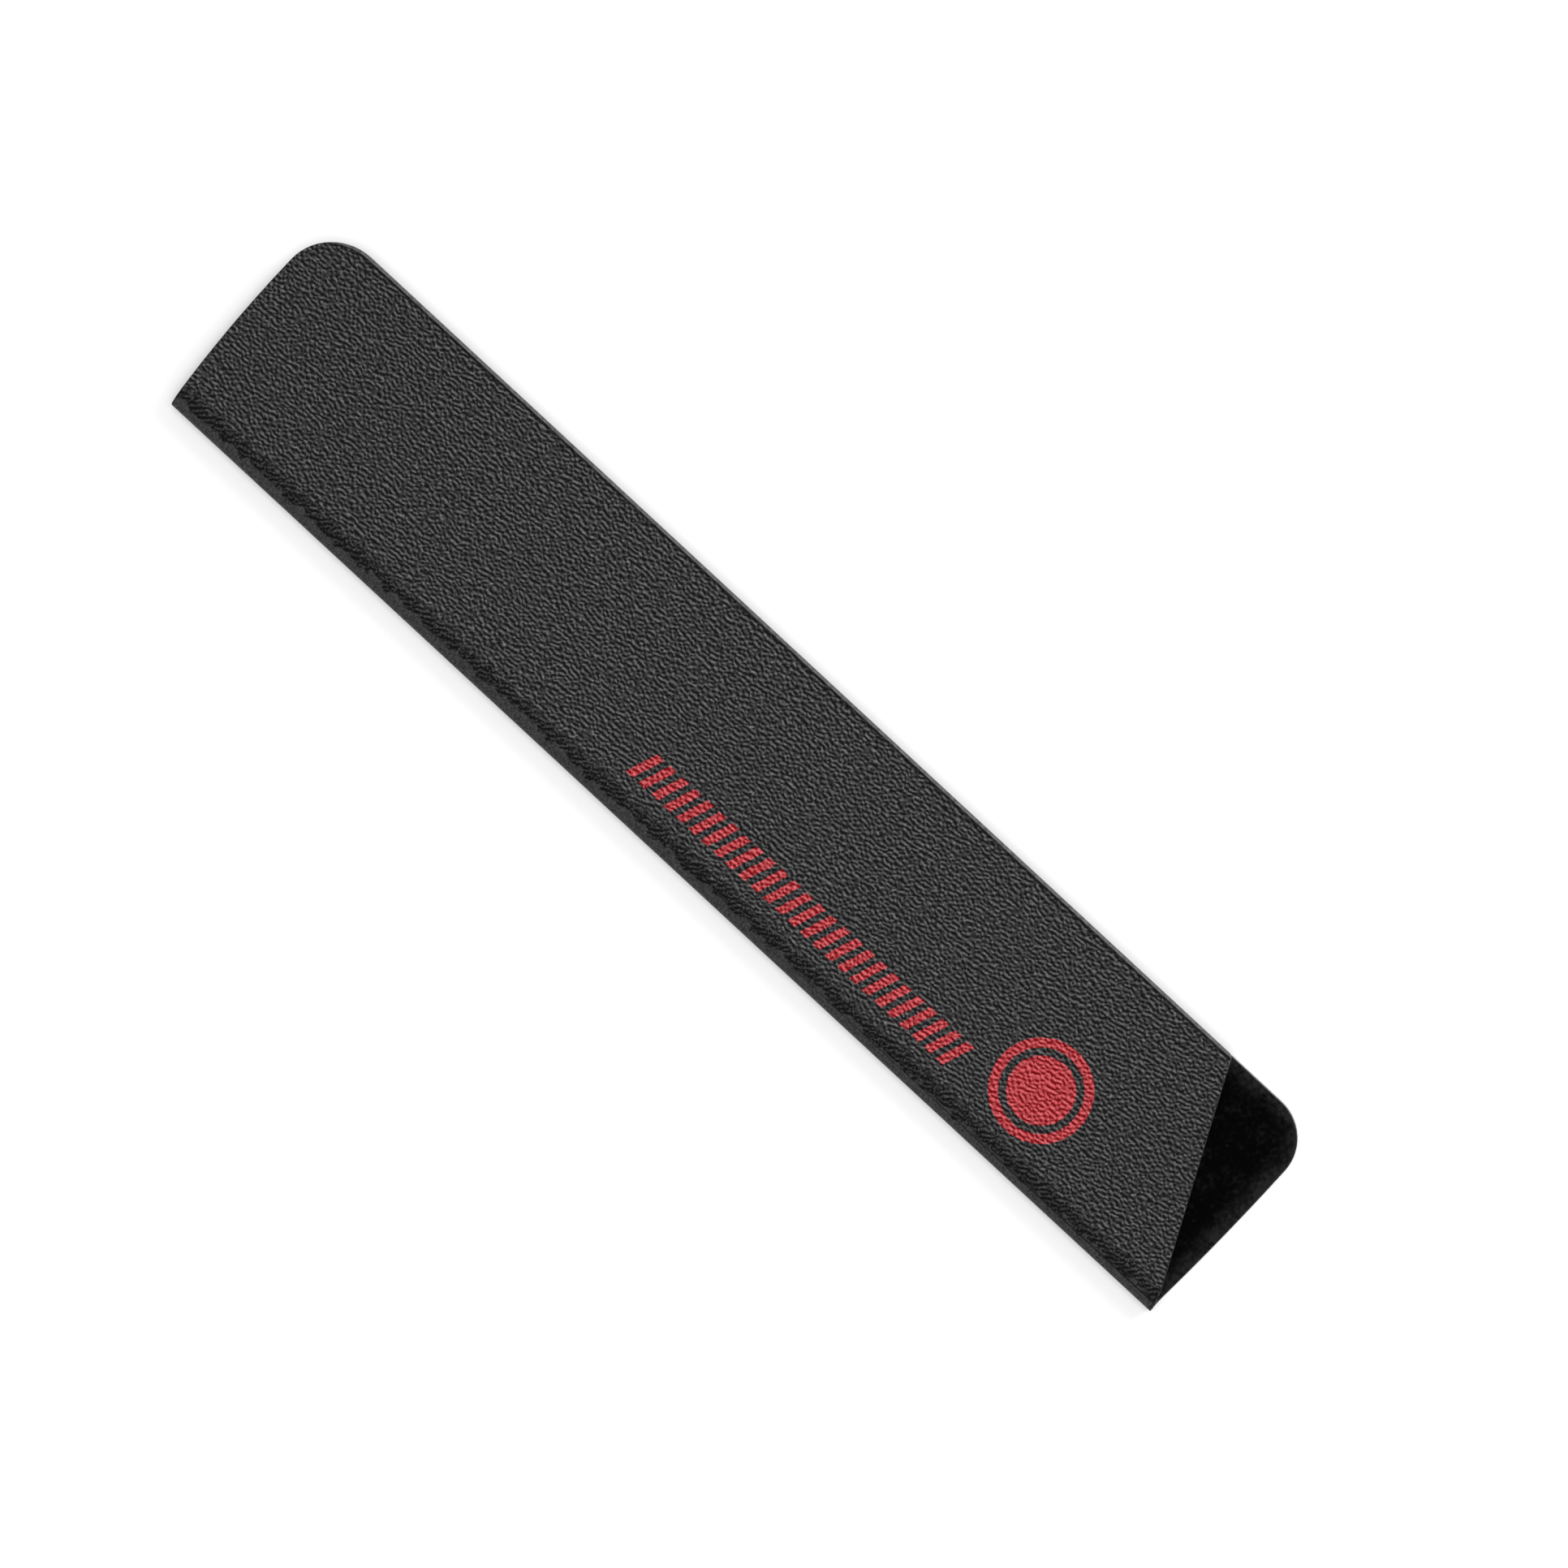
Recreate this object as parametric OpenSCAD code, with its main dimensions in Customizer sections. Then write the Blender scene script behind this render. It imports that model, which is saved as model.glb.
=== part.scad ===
// Folded blade guard for a kitchen knife. One embossed plastic sheet is folded lengthwise like a book cover.
// A flexible magnet is bonded inside each leaf, and a flock lining covers the whole inside.
// X runs along the fold from the closed-in tip end to the mouth, Y from the fold to the open long edge,
// and Z up from the outer face of the back leaf, on which the closed guard lies.

/* [Outline] */
// Length of the guard from tip end to mouth
guard_length = 216; // [120:1:330]
// Width from the outside of the fold to the open edge
guard_width = 39; // [28:0.5:70]
// Distance from the fold at which the bowed tip end reaches farthest out
tip_peak = 26.5; // [15:0.5:27]
// How far the tip end stands back at the fold
tip_setback = 1.55; // [0.5:0.05:3]
// Radius of the open corner at the tip end
tip_corner_r = 8.8; // [4:0.1:12]
// Distance from the fold at which the mouth end reaches farthest out
mouth_peak = 27; // [15:0.5:27]
// How far the mouth end stands back at the fold
mouth_setback = 0.8; // [0.3:0.05:2]
// Radius of the open corner of the back leaf at the mouth
mouth_corner_r = 7.8; // [4:0.1:12]
// How far from the mouth the slanted cut starts at the open edge of the front leaf
cut_run = 19.2; // [12:0.2:30]
// Slant of that cut, measured from square across the guard, in degrees
cut_angle = 26; // [15:0.5:28]

/* [Layers] */
// Thickness of the embossed sheet
sheet_t = 0.8; // [0.5:0.05:1.2]
// Thickness of each magnet
magnet_t = 0.75; // [0.5:0.05:1.5]
// Thickness of the flock lining
lining_t = 0.6; // [0.3:0.05:0.8]
// Gap between the two linings where the blade goes
blade_gap = 0.3; // [0.2:0.05:1]

/* [Fold] */
// Depth of the rolled fold, from its outermost line to where the flat leaves start
fold_depth = 3.6; // [3.2:0.1:5]
// Open radius left inside the lining of the fold
fold_hollow_r = 0.4; // [0.2:0.05:0.5]

/* [Inside] */
// Distance that the lining stays in from the cut edges of the sheet
lining_inset = 0.4; // [0.2:0.05:1]
// Distance that the magnets stay in from the cut edges of the sheet
magnet_inset = 3; // [2.2:0.1:5]
// Distance from the fold to the edge of the magnets
magnet_start = 5.6; // [5.1:0.1:8]
// Clearance between a magnet's edge and the lining round it
magnet_play = 0.1; // [0.05:0.05:0.3]

/* [Hidden] */
$fn = 96;

sheet_color = [0.04, 0.04, 0.042];
lining_color = [0.012, 0.012, 0.014];
magnet_color = [0.09, 0.085, 0.08];

// Half of the closed guard's thickness, from the outer face to the middle of the blade gap
half_t = sheet_t + magnet_t + lining_t + blade_gap / 2;
guard_t = 2 * half_t;

// The fold is a three-centre arch: a round nose of nose_r that runs on both sides into a flatter flank arc,
// whose centre lies where the flat leaf starts, on the far side of the middle plane.
nose_r = sheet_t + lining_t + fold_hollow_r;
flank_r = (pow(fold_depth - nose_r, 2) + pow(half_t, 2) - pow(nose_r, 2)) / (2 * (half_t - nose_r));
// Angle from the nose's own direction to the line where nose and flank meet
join_angle = atan2(flank_r - half_t, fold_depth - nose_r);
// Outer length of half the fold when it is laid flat
half_fold_length = nose_r * join_angle * PI / 180 + flank_r * (90 - join_angle) * PI / 180;
// The sheet bends about two lines just outside it. At this distance from the fold's outermost line and from
// the outer face, both leaves lie flat when the guard is opened right out, with the fold's full length.
bend_line = (fold_depth + half_t - half_fold_length) / 2;
// The spine of the fold reaches to the radial planes of the nose through those bend lines.
spine_angle = atan2(half_t - bend_line, nose_r - bend_line);

// Radii of the slightly bowed ends
tip_bow_r = (pow(tip_peak, 2) + pow(tip_setback, 2)) / (2 * tip_setback);
mouth_bow_r = (pow(mouth_peak, 2) + pow(mouth_setback, 2)) / (2 * mouth_setback);

// Larger than any cross-section, for the bodies that trim others
beyond = guard_width + guard_length;

// Plan of a leaf with every cut edge moved in by inset. The fold lies along Y = 0.
module leaf_plan(inset, slanted) {
    difference() {
        intersection() {
            square([guard_length, guard_width - inset]);
            translate([tip_bow_r, tip_peak]) circle(r = tip_bow_r - inset, $fn = 720);
            translate([guard_length - mouth_bow_r, mouth_peak]) circle(r = mouth_bow_r - inset, $fn = 720);
        }
        corner_waste(tip_corner_r, inset);
        translate([guard_length, 0]) mirror([1, 0]) corner_waste(mouth_corner_r, inset);
        if (slanted) {
            translate([guard_length - cut_run, guard_width]) rotate(cut_angle) translate([-inset, -beyond])
                square([beyond, 2 * beyond]);
        }
    }
}

// What a rounded corner at the open edge takes off a square one at X = 0
module corner_waste(corner_r, inset) {
    difference() {
        translate([-1, guard_width - corner_r]) square([corner_r + 1, corner_r + 1]);
        translate([corner_r, guard_width - corner_r]) circle(r = corner_r - inset);
    }
}

// Cross-section of the closed guard inside a surface that lies inset below its outer face.
// Here X is the distance from the fold's outermost line and Y the height above the middle plane.
module guard_section(inset) {
    flank_start = nose_r - (nose_r - inset) * cos(join_angle);
    translate([nose_r, 0]) circle(r = nose_r - inset);
    intersection() {
        translate([fold_depth, half_t - flank_r]) circle(r = flank_r - inset, $fn = 240);
        translate([fold_depth, flank_r - half_t]) circle(r = flank_r - inset, $fn = 240);
        translate([flank_start, -half_t]) square([fold_depth - flank_start, guard_t]);
    }
    translate([fold_depth, inset - half_t]) square([guard_width, guard_t - 2 * inset]);
}

// The sector of the nose that the spine of the fold takes up
module spine_sector() {
    side = [-cos(spine_angle), sin(spine_angle)] * guard_t;
    translate([nose_r, 0]) polygon([[0, 0], [side[0], side[1]], [-guard_t, side[1]],
                                    [-guard_t, -side[1]], [side[0], -side[1]]]);
}

// One layer of the folded sheet, from outer to inner depth, as a band round the fold
module layer_section(outer, inner) {
    difference() {
        guard_section(outer);
        guard_section(inner);
    }
}

// The layer's lower half without the spine
module lower_section(outer, inner) {
    difference() {
        layer_section(outer, inner);
        spine_sector();
        translate([-1, 0]) square([guard_width + fold_depth + 2, guard_t]);
    }
}

// Runs a cross-section along the guard and trims it to the plan
module run_along(inset, slanted) {
    intersection() {
        translate([0, 0, half_t]) rotate([90, 0, 90]) linear_extrude(guard_length) children();
        linear_extrude(guard_t) leaf_plan(inset, slanted);
    }
}

// Plan of a magnet, grown by margin on every side
module magnet_plan(margin, slanted) {
    intersection() {
        leaf_plan(magnet_inset - margin, slanted);
        translate([0, magnet_start - margin]) square([guard_length, guard_width]);
    }
}

// The three layers of one leaf, lying on its outer face as the back leaf does
module leaf_sheet(slanted) {
    run_along(0, slanted) lower_section(0, sheet_t);
}

module leaf_magnet(slanted) {
    translate([0, 0, sheet_t]) linear_extrude(magnet_t) magnet_plan(0, slanted);
}

// The lining lies on the sheet round the magnet and steps up over it.
module leaf_lining(slanted) {
    difference() {
        union() {
            run_along(lining_inset, slanted) lower_section(sheet_t, sheet_t + lining_t);
            translate([0, 0, sheet_t]) linear_extrude(magnet_t + lining_t)
                magnet_plan(magnet_play + lining_t, slanted);
        }
        translate([0, 0, sheet_t - 1]) linear_extrude(magnet_t + 1) magnet_plan(magnet_play, slanted);
    }
}

// Turns a leaf made as the back one into the front one, on the other side of the blade gap
module as_front() {
    translate([0, 0, guard_t]) mirror([0, 0, 1]) children();
}

// Puts the guard's footprint centre at the origin
module placed() {
    translate([-guard_length / 2, -guard_width / 2, 0]) children();
}

module back_leaf() {
    color(sheet_color) placed() leaf_sheet(false);
}

module front_leaf() {
    color(sheet_color) placed() as_front() leaf_sheet(true);
}

module fold_spine() {
    color(sheet_color) placed() run_along(0, false) intersection() {
        layer_section(0, sheet_t);
        spine_sector();
    }
}

module back_lining() {
    color(lining_color) placed() leaf_lining(false);
}

module front_lining() {
    color(lining_color) placed() as_front() leaf_lining(true);
}

module fold_lining() {
    color(lining_color) placed() run_along(lining_inset, false) intersection() {
        layer_section(sheet_t, sheet_t + lining_t);
        spine_sector();
    }
}

module back_magnet() {
    color(magnet_color) placed() leaf_magnet(false);
}

module front_magnet() {
    color(magnet_color) placed() as_front() leaf_magnet(true);
}

back_leaf();
fold_spine();
front_leaf();
back_lining();
fold_lining();
front_lining();
back_magnet();
front_magnet();
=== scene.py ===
import math

import bmesh
import bpy
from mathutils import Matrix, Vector


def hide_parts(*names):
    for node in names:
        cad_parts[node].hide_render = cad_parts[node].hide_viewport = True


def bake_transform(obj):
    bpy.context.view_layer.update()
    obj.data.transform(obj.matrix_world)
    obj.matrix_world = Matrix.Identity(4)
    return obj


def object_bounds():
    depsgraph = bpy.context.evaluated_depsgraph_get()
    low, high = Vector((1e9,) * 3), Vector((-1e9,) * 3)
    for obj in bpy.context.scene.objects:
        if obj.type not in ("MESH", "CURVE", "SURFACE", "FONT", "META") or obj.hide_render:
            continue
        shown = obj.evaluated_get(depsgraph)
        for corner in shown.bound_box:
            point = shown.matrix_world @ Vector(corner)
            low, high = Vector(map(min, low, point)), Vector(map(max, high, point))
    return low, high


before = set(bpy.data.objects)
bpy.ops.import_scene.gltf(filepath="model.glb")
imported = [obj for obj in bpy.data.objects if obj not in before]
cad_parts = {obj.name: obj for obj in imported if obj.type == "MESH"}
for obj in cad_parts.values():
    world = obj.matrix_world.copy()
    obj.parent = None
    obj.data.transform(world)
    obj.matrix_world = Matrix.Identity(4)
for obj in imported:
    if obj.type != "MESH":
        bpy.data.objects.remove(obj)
cad_low, cad_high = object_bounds()
mm = 0.001

# The camera hangs straight above the closed guard with a long lens, as the photographer's did.
# The guard lies across the frame, so the camera is turned about its own line of sight.
lens = 120
sensor = 36
frame_across = 250.5 * mm
frame_turn = math.radians(42.81)
view_middle = (6.8 * mm, 2.6 * mm)
guard_top = cad_high.z
bpy.ops.object.select_all(action="DESELECT")
bpy.ops.object.camera_add(location=(*view_middle, guard_top + frame_across * lens / sensor),
                          rotation=(0, 0, frame_turn))
camera = bpy.context.object
camera.name = "overhead_camera"
camera.data.lens = lens
camera.data.sensor_width = sensor
camera.data.clip_start = 0.01
bpy.context.scene.camera = camera
bpy.context.scene.view_settings.view_transform = "Standard"


# The studio: a white table and surround, one large soft box overhead and a lower one beyond the open edge.
# The camera sees table and surround as plain white, with the guard's own soft shadow on the table.
class Wire:
    """A shader node's output, or a whole node tree, with which one can calculate as with a number."""

    def __init__(self, tree, socket=None):
        self.tree, self.socket = tree, socket

    def node(self, kind, settings=None, inputs=None, output=0):
        """Adds a node. Its settings are set first, then its inputs take values or other wires."""
        added = self.tree.nodes.new("ShaderNode" + kind)
        for name, value in (settings or {}).items():
            setattr(added, name, value)
        for name, value in (inputs or {}).items():
            if isinstance(value, Wire):
                self.tree.links.new(value.socket, added.inputs[name])
            else:
                added.inputs[name].default_value = value
        return Wire(self.tree, added.outputs[output] if len(added.outputs) else None)

    def calculate(self, operation, *values, clamp=False):
        return self.node("Math", {"operation": operation, "use_clamp": clamp}, dict(enumerate(values)))

    def __add__(self, other): return self.calculate("ADD", self, other)
    def __sub__(self, other): return self.calculate("SUBTRACT", self, other)
    def __rsub__(self, other): return self.calculate("SUBTRACT", other, self)
    def __mul__(self, other): return self.calculate("MULTIPLY", self, other)
    def __truediv__(self, other): return self.calculate("DIVIDE", self, other)
    __radd__, __rmul__ = __add__, __mul__

    def rise(self, start, end, low=0.0, high=1.0):
        """Goes smoothly from low to high as the wire goes from start to end."""
        return self.node("MapRange", {"interpolation_type": "SMOOTHSTEP"},
                         {0: self, 1: start, 2: end, 3: low, 4: high})

    def above(self, limit): return self.calculate("GREATER_THAN", self, limit)
    def below(self, limit): return self.calculate("LESS_THAN", self, limit)

    def mixed(self, colour, other):
        """Goes from colour to other as the wire goes from 0 to 1."""
        return self.node("Mix", {"data_type": "RGBA"}, {0: self, 6: colour, 7: other}, output=2)


def empty_tree(owner):
    """Clears the owner's nodes away and gives back its tree."""
    owner.use_nodes = True
    owner.node_tree.nodes.clear()
    return Wire(owner.node_tree)


def seen_directly(tree):
    """1 where the camera looks, also by way of glass or a mirror, and 0 for the light that things get."""
    camera_ray, glossy, through = (
        tree.node("LightPath", output=f"Is {kind} Ray") for kind in ("Camera", "Glossy", "Transmission"))
    return camera_ray.calculate("MAXIMUM", camera_ray, glossy.calculate("MAXIMUM", glossy, through))


surround_light = 0.4
world = bpy.data.worlds.new("white_surround")
bpy.context.scene.world = world
tree = empty_tree(world)
strength = seen_directly(tree) * (1 - surround_light) + surround_light
surround = tree.node("Background", inputs={"Strength": strength, "Color": (1, 1, 1, 1)})
tree.node("OutputWorld", inputs={"Surface": surround})

table_side = 6
table_clearance = 0.02 * mm
bpy.ops.mesh.primitive_plane_add(size=table_side, location=(0, 0, -table_clearance))
table = bpy.context.object
table.name = "white_table"
table_material = bpy.data.materials.new("white_table_top")
tree = empty_tree(table_material)
camera_ray = tree.node("LightPath", output="Is Camera Ray")
top_colour = camera_ray.mixed((0.8, 0.8, 0.8, 1), (0.97, 0.97, 0.97, 1))
top = tree.node("BsdfDiffuse", inputs={"Color": top_colour})
# The lamps fade towards the table's far parts, so a glow that only the camera sees makes up for it.
place = tree.node("TexCoord", output="Object")
away = tree.node("VectorMath", {"operation": "LENGTH"}, {0: place}, "Value")
glow_strength = camera_ray * away.rise(0.1, 1.3, 0.18, 0.6)
glow = tree.node("Emission", inputs={"Color": (1, 1, 1, 1), "Strength": glow_strength})
tree.node("OutputMaterial", inputs={"Surface": tree.node("AddShader", inputs={0: top, 1: glow})})
table.data.materials.append(table_material)


def soft_box(name, side, power, distance, azimuth, height):
    """A square lamp that shines on the middle of the guard, from a direction given in degrees."""
    azimuth, height = math.radians(azimuth), math.radians(height)
    outward = Vector((math.cos(height) * math.cos(azimuth), math.cos(height) * math.sin(azimuth),
                      math.sin(height)))
    bpy.ops.object.light_add(type="AREA", location=distance * outward,
                             rotation=(0, math.pi / 2 - height, azimuth))
    lamp = bpy.context.object
    lamp.name = name
    lamp.data.size = side
    lamp.data.energy = power


soft_box("overhead_box", side=0.8, power=7, distance=1.2, azimuth=90, height=90)
soft_box("open_edge_box", side=0.5, power=3.5, distance=1.2, azimuth=75, height=35)


# The outer sheet is one piece of black polypropylene, 0.8 mm thick, embossed with a wavy leather grain.
# It is die-cut, then creased hot and folded in half. Here each half runs to the middle line of the fold.
length = cad_high.x - cad_low.x
width = cad_high.y - cad_low.y
middle_height = (cad_high.z + cad_low.z) / 2
sheet_thick = 0.8 * mm
tip_peak, tip_setback, tip_corner = 26.5 * mm, 1.55 * mm, 8.8 * mm
mouth_peak, mouth_setback, mouth_corner = 27 * mm, 0.8 * mm, 7.8 * mm
cut_run, cut_slant, nib = 19.2 * mm, math.radians(26), 0.9 * mm
# The fold is a round nose that runs into a flatter flank on both sides.
fold_line = cad_low.y
fold_depth = 3.6 * mm
nose_radius = 1.8 * mm
flank_radius = ((fold_depth - nose_radius) ** 2 + middle_height ** 2 - nose_radius ** 2) / (
    2 * (middle_height - nose_radius))
join_angle = math.atan2(flank_radius - middle_height, fold_depth - nose_radius)
flank_length = flank_radius * (math.pi / 2 - join_angle)
half_fold = nose_radius * join_angle + flank_length
# The open edge's distance from the middle line of the fold in the flat sheet, in millimetres
flat_reach = (half_fold + width - fold_depth) / mm
# A line just past the roll, along which each layer has a row of points
leaf_line = fold_line + fold_depth + 0.8 * mm
# Smaller than any real distance, for telling which points lie on a line
speck = 0.001 * mm


def pick(piece, kind, wanted):
    """Selects, in edit mode, only the vertices, edges or faces that are wanted."""
    bpy.ops.mesh.select_mode(type=kind)
    bpy.ops.mesh.select_all(action="DESELECT")
    shape = bmesh.from_edit_mesh(piece.data)
    shape.normal_update()
    for part in {"VERT": shape.verts, "EDGE": shape.edges, "FACE": shape.faces}[kind]:
        if wanted(part):
            part.select_set(True)
    bmesh.update_edit_mesh(piece.data)


def along(part, axis):
    """The middle of an edge or face along one axis."""
    return sum(vertex.co[axis] for vertex in part.verts) / len(part.verts)


def is_cut_side(face):
    """True for the faces that the die cuts, which stand square to the sheet."""
    return abs(face.normal.x) > 0.5 or (face.normal.y > 0.8 and along(face, 1) > fold_line + fold_depth)


def is_level(face, way):
    """True for the faces that lie flat and look up (way 1) or down (way -1)."""
    return way * face.normal.z > 0.9999


def bow(from_fold, peak, setback):
    """How far a slightly bowed end stands back at this distance from the fold."""
    return setback * ((from_fold - peak) / peak) ** 2


def nearest_edge(x, from_fold, slanted):
    """How far a point of a leaf lies in from the nearest cut edge, and which way that edge faces."""
    from_open = width - from_fold
    from_tip = x + length / 2 - bow(from_fold, tip_peak, tip_setback)
    from_mouth = length / 2 - x - bow(from_fold, mouth_peak, mouth_setback)
    slant_way = Vector((math.cos(cut_slant), math.sin(cut_slant), 0))
    from_slant = (length / 2 - cut_run - x) * slant_way.x + from_open * slant_way.y
    edges = [(from_open, Vector((0, 1, 0))),
             (from_tip, Vector((-1, 0, 0))),
             (from_mouth, Vector((1, 0, 0)))]
    if slanted:
        edges.append((from_slant, slant_way))
        # The nib's own centre lies at its radius from the open edge and from the slanted cut.
        nib_x = length / 2 - cut_run - nib * (1 - slant_way.y) / slant_way.x
        if from_open < nib and x > nib_x:
            arm = Vector((x - nib_x, nib - from_open, 0))
            edges.append((nib - arm.length, arm.normalized()))
    for from_end, end, radius in ((from_tip, -1, tip_corner), (from_mouth, 1, mouth_corner)):
        if max(from_end, from_open) < radius:
            arm = Vector((end * (radius - from_end), radius - from_open, 0))
            edges.append((radius - arm.length, arm.normalized()))
    return min(edges, key=lambda edge: edge[0])


def flat_length(from_fold, height):
    """The distance from the middle line of the fold along the outer face, as it was before folding."""
    if from_fold >= fold_depth:
        return half_fold + from_fold - fold_depth
    on_flank = math.atan2(fold_depth - from_fold, flank_radius - height)
    if on_flank <= math.pi / 2 - join_angle:
        return half_fold - flank_radius * on_flank
    return nose_radius * math.atan2(middle_height - height, nose_radius - from_fold)


def cut_layer(name, low, high, inset, slanted, nib_rounded):
    """One layer of the back leaf, low to high above its outer face, with its half of the fold.

    The leaf is cut from flat stock, and its side along the fold is spun up round flank and nose.
    """
    leaf_start = fold_line + fold_depth
    leaf_end = fold_line + width - inset
    bpy.ops.object.select_all(action="DESELECT")
    bpy.ops.mesh.primitive_plane_add(size=1)
    piece = bpy.context.object
    piece.name = piece.data.name = name
    bpy.ops.object.mode_set(mode="EDIT")
    bpy.ops.transform.resize(value=(length - 2 * inset, leaf_end - leaf_start, 1))
    bpy.ops.transform.translate(value=(0, (leaf_start + leaf_end) / 2, low))
    for end, radius in ((-1, tip_corner), (1, mouth_corner)):
        pick(piece, "VERT", lambda v: v.co.x * end > 0 and v.co.y > leaf_end - mm)
        bpy.ops.mesh.bevel(affect="VERTICES", offset=radius - inset, segments=14)
        pick(piece, "EDGE", lambda e: all(abs(v.co.x * end - length / 2 + inset) < speck for v in e.verts))
        bpy.ops.mesh.subdivide(number_cuts=5)
    bpy.ops.mesh.select_all(action="SELECT")
    bpy.ops.mesh.extrude_region_move(TRANSFORM_OT_translate={"value": (0, 0, high - low)})
    bpy.ops.mesh.select_all(action="SELECT")
    bpy.ops.mesh.normals_make_consistent(inside=False)
    pick(piece, "FACE", lambda f: f.normal.y < -0.9)
    bpy.ops.mesh.delete(type="ONLY_FACE")
    pick(piece, "EDGE", lambda e: e.is_boundary)
    bpy.ops.mesh.spin(steps=7, angle=math.pi / 2 - join_angle, axis=(1, 0, 0),
                      center=(0, leaf_start, flank_radius))
    bpy.ops.mesh.spin(steps=14, angle=join_angle, axis=(1, 0, 0),
                      center=(0, fold_line + nose_radius, middle_height))
    shape = bmesh.from_edit_mesh(piece.data)
    for vertex in shape.verts:
        from_fold = vertex.co.y - fold_line
        if vertex.co.x < 0:
            vertex.co.x += bow(from_fold, tip_peak, tip_setback)
        else:
            vertex.co.x -= bow(from_fold, mouth_peak, mouth_setback)
    bmesh.update_edit_mesh(piece.data)
    bpy.ops.mesh.select_all(action="SELECT")
    bpy.ops.mesh.bisect(plane_co=(0, leaf_line, 0), plane_no=(0, 1, 0))
    if slanted:
        outward = (math.cos(cut_slant), math.sin(cut_slant), 0)
        corner = (length / 2 - cut_run - inset / outward[0], cad_high.y, 0)
        bpy.ops.mesh.select_all(action="SELECT")
        bpy.ops.mesh.bisect(plane_co=corner, plane_no=outward, use_fill=True, clear_outer=True)
        bpy.ops.mesh.select_all(action="SELECT")
        bpy.ops.mesh.normals_make_consistent(inside=False)
        if nib_rounded:
            pick(piece, "EDGE", lambda e: abs(e.verts[0].co.z - e.verts[1].co.z) > 0.9 * (high - low)
                 and along(e, 1) > leaf_end - speck and along(e, 0) > 0)
            bpy.ops.mesh.bevel(offset=nib * math.tan(math.pi / 4 - cut_slant / 2), segments=5)
    return piece


def round_rim(piece, inner, radius, segments):
    """Rounds the piece's cut edge on its inner or outer face."""
    side = 1 if inner else -1
    pick(piece, "EDGE", lambda e: any(map(is_cut_side, e.link_faces)) and any(
        not is_cut_side(f) and side * (f.normal.y + f.normal.z) > 0 for f in e.link_faces))
    bpy.ops.mesh.bevel(offset=radius, segments=segments)


def to_outer_face(place):
    """The way from a point of the layer straight out to its outer face."""
    if place.y >= fold_line + fold_depth:
        return Vector((0, 0, -place.z))
    radius, centre = flank_radius, Vector((place.x, fold_line + fold_depth, flank_radius))
    if math.atan2(centre.y - place.y, centre.z - place.z) > math.pi / 2 - join_angle:
        radius, centre = nose_radius, Vector((place.x, fold_line + nose_radius, middle_height))
    arm = place - centre
    return arm.normalized() * (radius - arm.length)


def narrow_rim(piece, slanted):
    """Draws the outer rim in to a fine one at the ends and the slanted cut, but less where that rolls in."""
    shape = bmesh.from_edit_mesh(piece.data)
    for vertex in shape.verts:
        inside, outward = nearest_edge(vertex.co.x, vertex.co.y - fold_line, slanted)
        to_face = to_outer_face(vertex.co)
        if inside < rim_round + crease_reach and to_face.length < rim_round + speck:
            # Nothing along the open edge, and from two thirds of the way round a corner all of it
            drawn = (1 - end_share) * min((1 - outward.y) / 0.5, 1)
            if slanted and vertex.co.x > 0:
                drawn *= min(max((vertex.co.y - fold_line) / fold_depth, rolled_share), 1)
            vertex.co += drawn * (outward * max(inside, 0) + to_face)
    bmesh.update_edit_mesh(piece.data)


def set_roll_back(piece):
    """Draws the front leaf's half of the fold in at the mouth, where it ends just short of the back one."""
    shape = bmesh.from_edit_mesh(piece.data)
    for vertex in shape.verts:
        if vertex.co.x > 0:
            vertex.co.x -= roll_setback * max(1 - (vertex.co.y - fold_line) / fold_depth, 0)
    bmesh.update_edit_mesh(piece.data)


def mark_rim(piece, slanted, reach):
    """Keeps for the material how near each point is to the cut edge: 1 on it and 0 from reach on."""
    shape = bmesh.from_edit_mesh(piece.data)
    rim = shape.verts.layers.float.new("rim")
    for vertex in shape.verts:
        inside = nearest_edge(vertex.co.x, vertex.co.y - fold_line, slanted)[0]
        vertex[rim] = max(0.0, 1 - inside / reach)
    bmesh.update_edit_mesh(piece.data)


def close_and_map(piece, front):
    """Closes the layer at the middle of the fold, keeps its flat measures, and turns the front one over."""
    pick(piece, "EDGE", lambda e: e.is_boundary)
    bpy.ops.mesh.edge_face_add()
    bpy.ops.mesh.select_all(action="SELECT")
    bpy.ops.mesh.normals_make_consistent(inside=False)
    shape = bmesh.from_edit_mesh(piece.data)
    measures = shape.loops.layers.uv.new("flat_measures")
    for vertex in shape.verts:
        from_fold = vertex.co.y - fold_line
        for loop in vertex.link_loops:
            loop[measures].uv = (vertex.co.x / mm, flat_length(from_fold, vertex.co.z) / mm)
    bmesh.update_edit_mesh(piece.data)
    if front:
        bpy.ops.mesh.select_all(action="SELECT")
        bpy.ops.transform.resize(value=(1, 1, -1), center_override=(0, 0, middle_height))
        bpy.ops.mesh.flip_normals()
    bpy.ops.object.mode_set(mode="OBJECT")
    bpy.ops.object.shade_smooth_by_angle(angle=math.radians(32))


rim_round = 0.5 * mm
inner_round = 0.12 * mm
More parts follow.
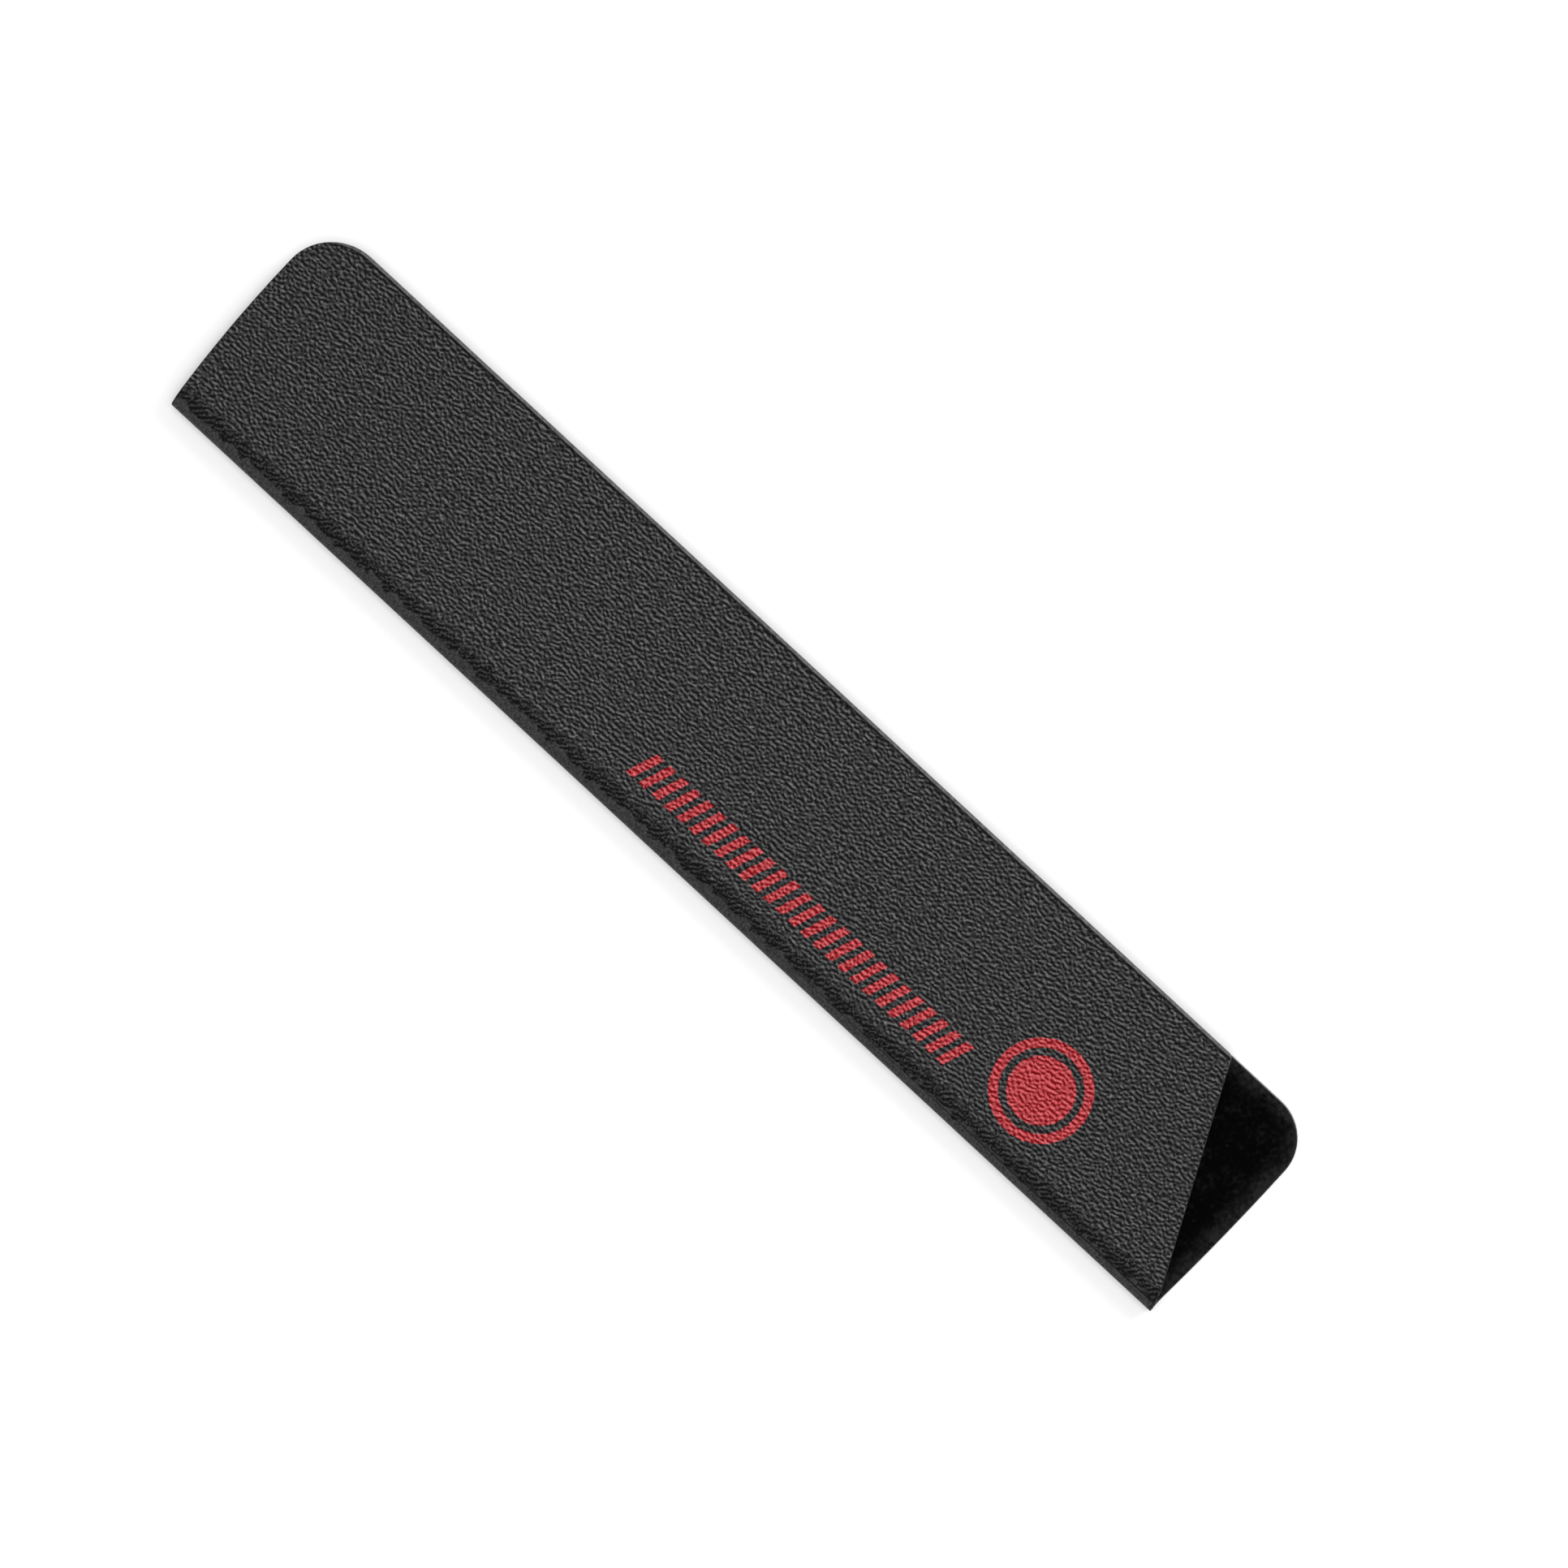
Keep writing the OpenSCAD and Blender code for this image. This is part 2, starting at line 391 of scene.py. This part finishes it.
# The share of the rim's roundness that is left at the ends, and the share of its drawing in that is done
# where the front leaf's mouth rolls into the fold
end_share = 0.14
rolled_share = 0.6
roll_setback = 0.35 * mm
crease_insets = (0.05 * mm, 0.11 * mm, 0.2 * mm)
crease_reach = 0.38 * mm
rim_reach = 1 * mm
sheets = {}
for side, slanted in (("back", False), ("front", True)):
    sheet = cut_layer(f"{side}_sheet", 0, sheet_thick, 0, slanted, nib_rounded=True)
    round_rim(sheet, True, inner_round, 2)
    round_rim(sheet, False, rim_round, 5)
    # Narrow borders inside the rounded rim carry the fine crease that the die leaves there.
    pick(sheet, "FACE", lambda f: is_level(f, -1) or (
        abs(f.normal.x) < 0.02 and f.normal.y + f.normal.z < 0 and along(f, 1) < fold_line + fold_depth))
    for inset in crease_insets:
        bpy.ops.mesh.inset(thickness=inset, use_boundary=False)
    mark_rim(sheet, slanted, rim_reach)
    narrow_rim(sheet, slanted)
    if slanted:
        set_roll_back(sheet)
    close_and_map(sheet, side == "front")
    sheets[side] = sheet


def embossed(name, print_on):
    """Black plastic with the rolled leather grain. print_on gives the places of the ink."""
    material = bpy.data.materials.new(name)
    tree = empty_tree(material)
    # The pattern is laid out on the flat sheet in millimetres: x along the fold, s out from its middle line.
    measures = tree.node("UVMap", {"uv_map": "flat_measures"})
    x = tree.node("SeparateXYZ", inputs={0: measures}, output="X")
    s = tree.node("SeparateXYZ", inputs={0: measures}, output="Y")
    rim = tree.node("Attribute", {"attribute_name": "rim"}, output="Fac")

    def noise(scale, detail=0.0):
        return tree.node("TexNoise", {"noise_dimensions": "2D"},
                         {"Vector": measures, "Scale": scale, "Detail": detail}) - 0.5

    # Short ridges, 0.85 mm apart, run along the fold and slowly turn on the way to the mouth. Two trains of
    # waves that cross make them.
    crossing = 19
    wavy = tree.node("CombineXYZ", inputs={0: x, 1: s + noise(0.5) * 0.2})
    turned = x * math.radians(0.045) + math.radians(96.5)
    crests = []
    for lean in (-crossing, crossing):
        phase = tree.node("TexGabor", {"gabor_type": "2D"}, {
            "Vector": wavy, "Scale": 0.75, "Frequency": 1.7, "Anisotropy": 0.72,
            4: turned + math.radians(lean)}, output="Phase")
        crests.append(phase.calculate("COSINE", phase * (2 * math.pi)))
    ridge = (crests[0] + crests[1]) * 0.205 + 0.42 + noise(1.5, 1.0) * 0.3 + noise(3.4, 1.0) * 0.5
    ridge = ridge.calculate("ADD", ridge, 0, clamp=True)
    # Near the fold the hot crease has pressed the ridges down and left short slanted grooves in a dull flat.
    uneven = s + noise(0.55, 2.0) * 2.9
    pressed = uneven.rise(5.9, 4.3)
    smooth = uneven.rise(3.1, 2.5)
    grooves = tree.node("TexGabor", {"gabor_type": "2D"}, {
        "Vector": measures, "Scale": 0.7, "Frequency": 1.75, "Anisotropy": 0.8, 4: math.radians(125)})
    flat = 1 - (grooves + noise(2.6, 1.0) * 0.7).rise(0.67, 0.41) * (1 - smooth)
    # The rounded rim is smooth, and the fine crease beside it is painted dark, as painted shade. Along the
    # open edge the rim's shine is a painted highlight, and the crease is wider.
    open_edge = s.rise(flat_reach - 3.5, flat_reach - 0.7)
    on_rim = rim.rise(0.41, 0.5)
    crease = rim.rise(0.17, 0.2) * rim.rise(0.48, 0.4)
    crease = crease.calculate("MAXIMUM", crease, s.rise(flat_reach - 1.1, flat_reach - 0.85) * (1 - on_rim))
    height = ridge * (1 - pressed) + flat * pressed * 0.6
    height = height * (1 - on_rim) + on_rim * 0.7 - crease * 0.5
    # The tone is painted light and shade: lighter on the ridge tops, darker in the pits and pressed grooves,
    # and a little lighter on the smooth strip by the fold as a painted reflection.
    tone = ridge * ridge * (noise(1.1, 1.0) * 1.6 + 1) * (1 - pressed)
    tone = tone + flat * pressed * (noise(2.5, 2.0) * 0.9 + noise(0.8, 1.0) * 0.3 + 0.28 + smooth * 0.12)
    shine = (rim.rise(0.78, 0.95, 0.65, 0.9) - 0.35) * open_edge + noise(1.2, 2.0) * 1.1 + 0.35
    # On the rim a painted highlight, and in the crease painted shade.
    tone = (tone * (1 - on_rim) + shine * on_rim) * (1 - crease * 0.8)
    # The pits' colour is painted shade and the crests' colour a painted highlight.
    pit_shade_black, crest_highlight_black = (0.004, 0.004, 0.0042, 1), (0.045, 0.045, 0.046, 1)
    # The open edge's rim is painted a lighter grey, a painted highlight.
    open_rim_highlight_grey = (0.1, 0.1, 0.102, 1)
    colour = (shine * on_rim * open_edge).mixed(tone.mixed(pit_shade_black, crest_highlight_black), open_rim_highlight_grey)
    if print_on:
        # The ink is painted darker in the grain's pits and lighter on its crests, as painted shade and
        # highlight.
        pit_shade_red, crest_highlight_red = (0.17, 0.0005, 0.003, 1), (0.745, 0.07, 0.085, 1)
        colour = print_on(x, s, noise).mixed(colour, ridge.rise(0, 1).mixed(pit_shade_red, crest_highlight_red))
    bump = tree.node("Bump", inputs={"Strength": 1.0, "Distance": 0.1 * mm, "Height": height})
    skin = tree.node("BsdfPrincipled", inputs={
        "Base Color": colour, "Roughness": 0.75 - tone * 0.3, "Specular IOR Level": 0.05,
        "Coat Weight": tone * 1.3, "Coat Roughness": 0.42, "Normal": bump})
    tree.node("OutputMaterial", inputs={"Surface": skin})
    return material


def printed(x, s, noise):
    """Where the front is printed: a row of slanted bars and a ringed disc, ragged as ink on grain is."""
    row_start, row_low, row_high = -13.1, 7.6, 13.0
    bars_in_row, bar_pitch, bar_share, lean = 26, 2.7, 0.55, 0.35
    disc_x, disc_s, disc_radius, ring_inner, ring_outer = 70.25, 15.2, 5.6, 6.9, 8.5
    x = x + noise(2.2, 2.0) * 0.55
    s = s + noise(1.9, 2.0) * 0.55
    along_row = (x - (s - row_low) * lean - row_start) / bar_pitch
    bars = along_row.calculate("LESS_THAN", along_row.calculate("FRACT", along_row), bar_share)
    bars = bars * along_row.above(0) * along_row.below(bars_in_row) * s.above(row_low) * s.below(row_high)
    across, up = x - disc_x, s - disc_s
    away = across.calculate("SQRT", across * across + up * up)
    return bars + away.below(disc_radius) + away.above(ring_inner) * away.below(ring_outer)


def bend(piece, side):
    """Bakes the piece's placing into its points, the same way for either side."""
    if side == "back":
        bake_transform(piece)
    else:
        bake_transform(piece)


sheets["back"].data.materials.append(embossed("embossed_black", None))
sheets["front"].data.materials.append(embossed("embossed_black_printed", printed))
for side, sheet in sheets.items():
    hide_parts(f"{side}_leaf", "fold_spine")
    bend(sheet, side)


# The lining is one layer of black flock on thin felt, bonded to the whole inside of the sheet.
# It steps up over the magnet of each leaf with a soft shoulder, and is seen in the slanted mouth.
lining_thick = 0.6 * mm
magnet_thick = 0.75 * mm
lining_inset = 0.2 * mm
lining_round = 0.25 * mm
shoulder = 2.4 * mm
# Each step of the shoulder as a share of its height
shoulder_steps = (0.104, 0.248, 0.296, 0.248, 0.104)
hollow_inset, hollow_play = 1.1 * mm, 0.01 * mm
# The flock is paler towards the cut edges as far in as edge_reach. A ring of points on the flat and a line
# of points across the roll lie where that ends.
edge_reach = 4.6 * mm
nap_ring = 1.8 * mm
nap_line = length / 2 - edge_reach - 1.6 * mm
# Each half's flat width, along the middle of its thickness from the middle line of the fold
middle_depth = sheet_thick + lining_thick / 2
flat_width = (nose_radius - middle_depth) * join_angle + (flank_radius - middle_depth) * (
    math.pi / 2 - join_angle) + width - fold_depth - lining_inset


def flocked():
    """Black flock, paler towards the cut edges."""
    material = bpy.data.materials.new("black_flock")
    tree = empty_tree(material)
    place = tree.node("TexCoord", output="Object")
    rim = tree.node("Attribute", {"attribute_name": "rim"}, output="Fac")

    def noise(scale, detail):
        return tree.node("TexNoise", inputs={"Vector": place, "Scale": scale, "Detail": detail}) - 0.5

    # The flock is paler towards the cut edges, and its nap lies in small tufts elsewhere.
    tufts = noise(1300, 4.0)
    patches = noise(330, 2.0)
    nap = (tufts * 1.7 + patches * 1.3).rise(-0.1, 1.4) + rim * rim * (tufts * 3.5 + patches * 3.0 + 1)
    flat_black, pale_edge_grey = (0.0012, 0.0012, 0.0014, 1), (0.0185, 0.0185, 0.019, 1)
    lint_grey = (0.03, 0.03, 0.031, 1)
    lint = noise(1500, 0.0).rise(0.31, 0.36) * 0.5
    shade = lint.mixed(nap.mixed(flat_black, pale_edge_grey), lint_grey)
    fibres = tufts + noise(7000, 1.0) * 0.5
    bump = tree.node("Bump", inputs={"Strength": 0.8, "Distance": 0.08 * mm, "Height": fibres})
    cloth = tree.node("BsdfPrincipled", inputs={
        "Base Color": shade, "Roughness": 1.0, "Specular IOR Level": 0.02, "Sheen Weight": 0.14,
        "Sheen Roughness": 0.35, "Normal": bump})
    tree.node("OutputMaterial", inputs={"Surface": cloth})
    return material


flock = flocked()
for side, slanted in (("back", False), ("front", True)):
    lining = cut_layer(f"{side}_flock", sheet_thick, sheet_thick + lining_thick, lining_inset, slanted,
                       nib_rounded=False)
    round_rim(lining, True, lining_round, 3)
    # The flat of the leaf is drawn up over the magnet, with a hollow for it underneath.
    pick(lining, "FACE", lambda f: is_level(f, 1) and along(f, 1) > fold_line + fold_depth + mm)
    for step in shoulder_steps:
        bpy.ops.mesh.inset(thickness=shoulder / len(shoulder_steps), depth=step * magnet_thick)
    bpy.ops.mesh.inset(thickness=nap_ring)
    pick(lining, "FACE", lambda f: is_level(f, -1) and along(f, 1) > fold_line + fold_depth + mm)
    bpy.ops.mesh.inset(thickness=hollow_inset)
    bpy.ops.mesh.extrude_region_move(TRANSFORM_OT_translate={"value": (0, 0, magnet_thick + hollow_play)})
    # Near each end a line of points crosses the roll, where the paler band stops.
    for end in (-1, 1):
        bpy.ops.mesh.select_all(action="SELECT")
        bpy.ops.mesh.bisect(plane_co=(end * nap_line, 0, 0), plane_no=(1, 0, 0))
    mark_rim(lining, slanted, edge_reach)
    if slanted:
        set_roll_back(lining)
    close_and_map(lining, side == "front")
    lining.data.materials.append(flock)
    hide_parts(f"{side}_lining", "fold_lining")
    bend(lining, side)


# The magnets are flexible rubber-bonded sheets, one glued to each leaf under its lining. They draw the
# leaves together on the blade, and keep their CAD shape.
magnet_rubber = bpy.data.materials.new("magnet_rubber")
tree = empty_tree(magnet_rubber)
place = tree.node("TexCoord", output="Object")
cloud = tree.node("TexNoise", inputs={"Vector": place, "Scale": 400, "Detail": 4.0})
dark_rubber, dusty_rubber = (0.012, 0.011, 0.010, 1), (0.022, 0.020, 0.018, 1)
colour = cloud.rise(0.3, 0.7).mixed(dark_rubber, dusty_rubber)
rubber = tree.node("BsdfPrincipled", inputs={
    "Base Color": colour, "Roughness": cloud.rise(0.2, 0.8, 0.55, 0.7)})
tree.node("OutputMaterial", inputs={"Surface": rubber})
for side in ("back", "front"):
    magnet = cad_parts[f"{side}_magnet"]
    magnet.data.materials.clear()
    magnet.data.materials.append(magnet_rubber)
